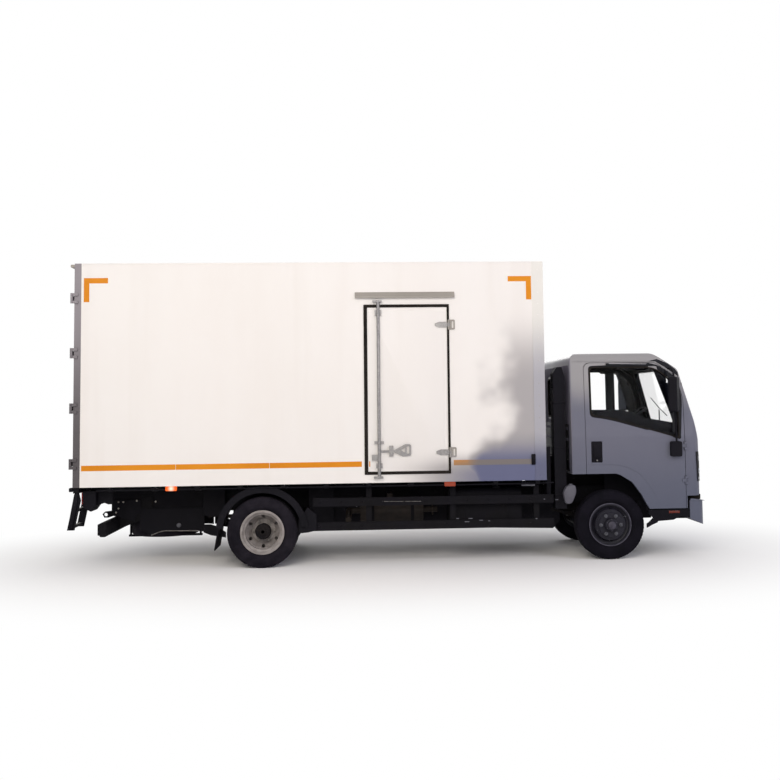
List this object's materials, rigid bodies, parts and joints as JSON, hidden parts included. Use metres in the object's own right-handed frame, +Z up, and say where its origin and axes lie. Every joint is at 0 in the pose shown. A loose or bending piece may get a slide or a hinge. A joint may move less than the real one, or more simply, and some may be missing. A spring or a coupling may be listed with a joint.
{
  "type": "refrigerated box truck",
  "caption": "Cab-over light truck with an insulated box body: tilting cab, steered front wheels, twin rear wheels, a side door with a lock rod and twin rear doors.",
  "frame": {"origin": "middle of the overall length and width, on the ground", "axes": "+X forward, +Y to the left, +Z up"},
  "size_m": [6.919, 2.48, 3.292],
  "materials": {
    "amber_lens": "clear",
    "black_plastic": "grained",
    "box_panel": "satin",
    "cab_paint": "gloss",
    "cast_metal": "rough",
    "chassis_paint": "matt",
    "exhaust_steel": "heat dulled",
    "front_rim_paint": "satin",
    "galvanised": "dull",
    "lamp_glass": "clear",
    "rear_rim_paint": "satin",
    "seat_cloth": "woven",
    "spring_steel": "matt",
    "stainless": "brushed",
    "trim_metal": "satin",
    "trim_plastic": "grained",
    "tyre_rubber": "matt",
    "window_glass": "clear"
  },
  "bodies": {
    "chassis": {"chassis_frame": "chassis_paint", "tow_eyes": "chassis_paint", "box_underframe": "chassis_paint", "front_axle": "chassis_paint", "rear_axle": "chassis_paint", "leaf_springs": "spring_steel", "engine_block": "cast_metal", "driveline": "cast_metal", "fuel_tank": "chassis_paint", "battery_box": "black_plastic", "side_guards": "chassis_paint", "underrun_bar": "chassis_paint", "rear_fenders": "black_plastic", "spare_wheel": "tyre_rubber", "exhaust": "exhaust_steel", "tail_lamps": "black_plastic", "marker_lamps": "amber_lens", "air_intake": "black_plastic", "front_bumper": "cab_paint", "step_panels": "black_plastic", "box_floor": "box_panel", "box_wall_left": "box_panel", "box_wall_right": "box_panel", "box_wall_front": "box_panel", "box_roof": "box_panel", "rear_frame": "stainless", "box_trims": "trim_metal", "rear_ladder": "black_plastic"},
    "cab": {"cab_shell": "cab_paint", "front_panel": "cab_paint", "headlamps": "lamp_glass", "cab_glass": "window_glass", "dashboard": "trim_plastic", "seats": "seat_cloth"},
    "steering_wheel": {"steering_wheel": "trim_plastic"},
    "side_door": {"side_door": "box_panel", "side_door_hardware": "galvanised"},
    "tie_rod": {"tie_rod": "chassis_paint"},
    "rear_door_left": {"rear_door_left": "box_panel", "rear_hardware_left": "stainless"},
    "cab_door_left": {"cab_door_left": "cab_paint", "door_glass_left": "window_glass", "mirror_left": "black_plastic"},
    "knuckle_left": {"knuckle_left": "cast_metal"},
    "front_wheel_left": {"front_rim_left": "front_rim_paint", "front_tyre_left": "tyre_rubber"},
    "rear_wheels_left": {"rear_rims_left": "rear_rim_paint", "rear_tyres_left": "tyre_rubber"},
    "rear_door_right": {"rear_door_right": "box_panel", "rear_hardware_right": "stainless"},
    "cab_door_right": {"cab_door_right": "cab_paint", "door_glass_right": "window_glass", "mirror_right": "black_plastic"},
    "knuckle_right": {"knuckle_right": "cast_metal"},
    "front_wheel_right": {"front_rim_right": "front_rim_paint", "front_tyre_right": "tyre_rubber"},
    "rear_wheels_right": {"rear_rims_right": "rear_rim_paint", "rear_tyres_right": "tyre_rubber"}
  },
  "joints": [
    {"name": "steer_right", "type": "hinge", "parent": "chassis", "child": "knuckle_right", "pos_m": [2.4095, -0.69, 0.38], "axis": [0, 0, 1], "range_deg": [-35, 35]},
    {"name": "steer_left", "type": "hinge", "parent": "chassis", "child": "knuckle_left", "pos_m": [2.4095, 0.69, 0.38], "axis": [0, 0, 1], "range_deg": [-35, 35]},
    {"name": "tie_rod_pivot", "type": "hinge", "parent": "knuckle_right", "child": "tie_rod", "pos_m": [2.2195, -0.69, 0.282], "axis": [0, 0, 1], "range_deg": [-35, 35]},
    {"name": "front_roll_left", "type": "hinge", "parent": "knuckle_left", "child": "front_wheel_left", "pos_m": [2.4095, 0.84, 0.38], "axis": [0, 1, 0], "continuous": true},
    {"name": "rear_roll_left", "type": "hinge", "parent": "chassis", "child": "rear_wheels_left", "pos_m": [-1.4055, 0.825, 0.38], "axis": [0, 1, 0], "continuous": true},
    {"name": "cab_door_hinge_left", "type": "hinge", "parent": "cab", "child": "cab_door_left", "pos_m": [3.2515, 1.001, 1.05], "axis": [0, 0, -1], "range_deg": [0, 70]},
    {"name": "rear_door_hinge_left", "type": "hinge", "parent": "chassis", "child": "rear_door_left", "pos_m": [-3.4195, 1.141, 2], "axis": [0, 0, -1], "range_deg": [0, 250]},
    {"name": "front_roll_right", "type": "hinge", "parent": "knuckle_right", "child": "front_wheel_right", "pos_m": [2.4095, -0.84, 0.38], "axis": [0, 1, 0], "continuous": true},
    {"name": "rear_roll_right", "type": "hinge", "parent": "chassis", "child": "rear_wheels_right", "pos_m": [-1.4055, -0.825, 0.38], "axis": [0, 1, 0], "continuous": true},
    {"name": "cab_door_hinge_right", "type": "hinge", "parent": "cab", "child": "cab_door_right", "pos_m": [3.2515, -1.001, 1.05], "axis": [0, 0, 1], "range_deg": [0, 70]},
    {"name": "rear_door_hinge_right", "type": "hinge", "parent": "chassis", "child": "rear_door_right", "pos_m": [-3.4195, -1.141, 2], "axis": [0, 0, 1], "range_deg": [0, 250]},
    {"name": "side_door_hinge", "type": "hinge", "parent": "chassis", "child": "side_door", "pos_m": [0.6295, -1.138, 1.9], "axis": [0, 0, 1], "range_deg": [0, 120]},
    {"name": "cab_tilt", "type": "hinge", "parent": "chassis", "child": "cab", "pos_m": [3.3875, 0, 0.65], "axis": [0, 1, 0], "range_deg": [0, 45]},
    {"name": "steering_wheel_turn", "type": "hinge", "parent": "cab", "child": "steering_wheel", "pos_m": [3.0095, 0.45, 1.54], "axis": [-0.438, 0, 0.899], "range_deg": [-630, 630]}
  ],
  "couplings": [
    {"joint": "steer_left", "follows": "steer_right", "ratio": 1},
    {"joint": "tie_rod_pivot", "follows": "steer_right", "ratio": -1},
    {"joint": "steering_wheel_turn", "follows": "steer_right", "ratio": 18}
  ]
}
